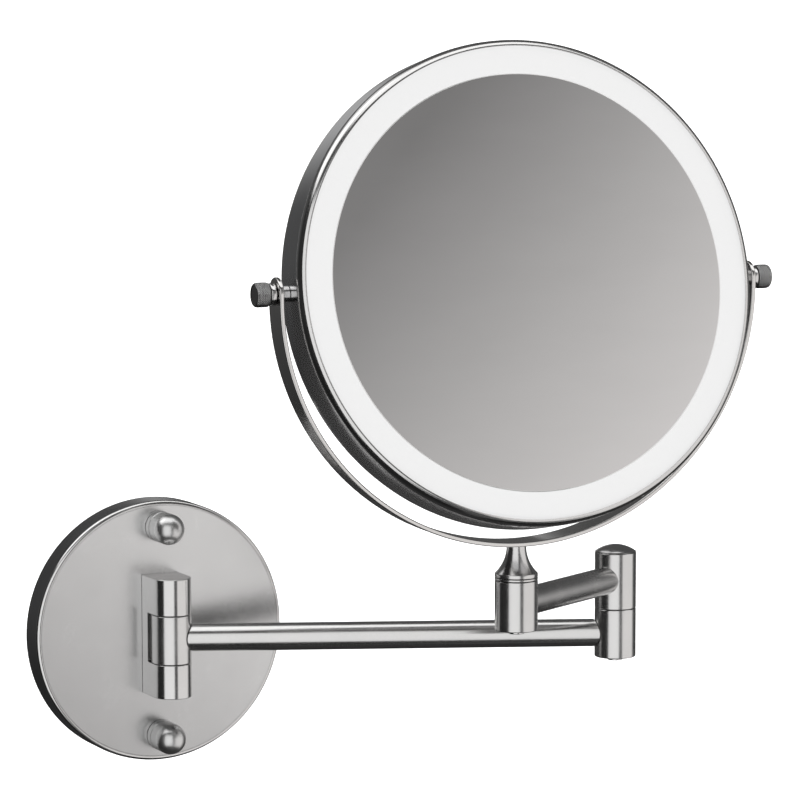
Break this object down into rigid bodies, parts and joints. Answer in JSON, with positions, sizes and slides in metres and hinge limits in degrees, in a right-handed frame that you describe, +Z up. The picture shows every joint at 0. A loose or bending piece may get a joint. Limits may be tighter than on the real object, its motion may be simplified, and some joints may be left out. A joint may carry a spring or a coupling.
{
  "type": "extendable shaving mirror",
  "caption": "Wall-mounted extendable shaving mirror: round wall plate, folding swing arm, U-shaped yoke and a round lit mirror head that swivels and tilts.",
  "frame": {"origin": "centre of the wall mount's back face, on the wall plane", "axes": "+Y points into the wall and the mirror reaches out along -Y; +X is right as seen from the room; +Z is up"},
  "size_m": [0.2966, 0.1815, 0.3313],
  "materials": {
    "satin_steel": "satin brushed stainless steel",
    "polished_steel": "polished stainless steel",
    "dark_steel": "polished steel, darker",
    "zinc_steel": "zinc-plated steel",
    "knurled_steel": "knurled steel",
    "white_nylon": "natural nylon",
    "mirror_glass": "silvered glass",
    "frosted_acrylic": "frosted white acrylic light diffuser",
    "circuit_board": "white circuit board",
    "tray_plastic": "moulded plastic",
    "battery_wrap": "film-wrapped cell",
    "black_plastic": "black plastic"
  },
  "bodies": {
    "wall_mount": {"wall_cover": "satin_steel", "mounting_plate": "zinc_steel", "stud_upper": "zinc_steel", "stud_lower": "zinc_steel", "cap_nut_upper": "polished_steel", "cap_nut_lower": "polished_steel", "hinge_bracket": "polished_steel", "bracket_screw_upper": "zinc_steel", "bracket_screw_lower": "zinc_steel", "hinge_pin": "zinc_steel"},
    "lower_arm": {"arm1_knuckle": "polished_steel", "hinge_washer_upper": "white_nylon", "hinge_washer_lower": "white_nylon", "arm1_tube": "polished_steel", "arm1_elbow_barrel": "polished_steel"},
    "upper_arm": {"arm2_elbow_barrel": "polished_steel", "elbow_cap": "polished_steel", "elbow_bolt": "polished_steel", "elbow_washer": "white_nylon", "elbow_spring_washer": "zinc_steel", "arm2_tube": "polished_steel", "post_barrel": "polished_steel"},
    "yoke": {"swivel_ring": "polished_steel", "swivel_stem": "polished_steel", "post_bolt": "polished_steel", "swivel_washer": "white_nylon", "post_spring_washer": "zinc_steel", "yoke_strap": "polished_steel"},
    "mirror_head": {"housing_band": "dark_steel", "front_bezel": "dark_steel", "light_ring": "frosted_acrylic", "front_mirror": "mirror_glass", "rear_bezel": "dark_steel", "rear_mirror": "mirror_glass", "inner_tray": "tray_plastic", "led_board": "circuit_board", "battery_pack": "battery_wrap", "control_board": "circuit_board", "battery_lead": "black_plastic", "light_lead": "black_plastic", "switch_body": "black_plastic", "charging_socket": "zinc_steel", "pivot_insert_left": "zinc_steel", "pivot_insert_right": "zinc_steel", "pivot_sleeve_left": "polished_steel", "pivot_sleeve_right": "polished_steel", "pivot_stud_left": "zinc_steel", "pivot_stud_right": "zinc_steel", "knob_collar_left": "polished_steel", "knob_collar_right": "polished_steel"},
    "left_knob": {"clamp_knob_left": "knurled_steel"},
    "right_knob": {"clamp_knob_right": "knurled_steel"},
    "power_button": {"power_button": "polished_steel"}
  },
  "joints": [
    {"name": "wall_hinge", "type": "hinge", "parent": "wall_mount", "child": "lower_arm", "pos_m": [0, -0.02725, 0], "axis": [0, 0, 1], "range_deg": [-157.5, 21.5]},
    {"name": "elbow", "type": "hinge", "parent": "lower_arm", "child": "upper_arm", "pos_m": [0.18761, -0.10278, 0], "axis": [0, 0, 1], "continuous": true},
    {"name": "post_swivel", "type": "hinge", "parent": "upper_arm", "child": "yoke", "pos_m": [0.11511, -0.14486, 0], "axis": [0, 0, 1], "continuous": true},
    {"name": "mirror_tilt", "type": "hinge", "parent": "yoke", "child": "mirror_head", "pos_m": [0.11511, -0.14486, 0.16433], "axis": [0.9975, -0.0708, 0], "continuous": true},
    {"name": "left_knob_turn", "type": "hinge", "parent": "mirror_head", "child": "left_knob", "pos_m": [0.11511, -0.14486, 0.16433], "axis": [-0.9975, 0.0708, 0], "range_deg": [0, 360]},
    {"name": "right_knob_turn", "type": "hinge", "parent": "mirror_head", "child": "right_knob", "pos_m": [0.11511, -0.14486, 0.16433], "axis": [0.9975, -0.0708, 0], "range_deg": [0, 360]},
    {"name": "power_press", "type": "slide", "parent": "mirror_head", "child": "power_button", "axis": [-0.4562, 0.2037, 0.8663], "range_m": [0, 0.001], "stiffness_N_per_m": 400, "springref_m": -0.001}
  ]
}
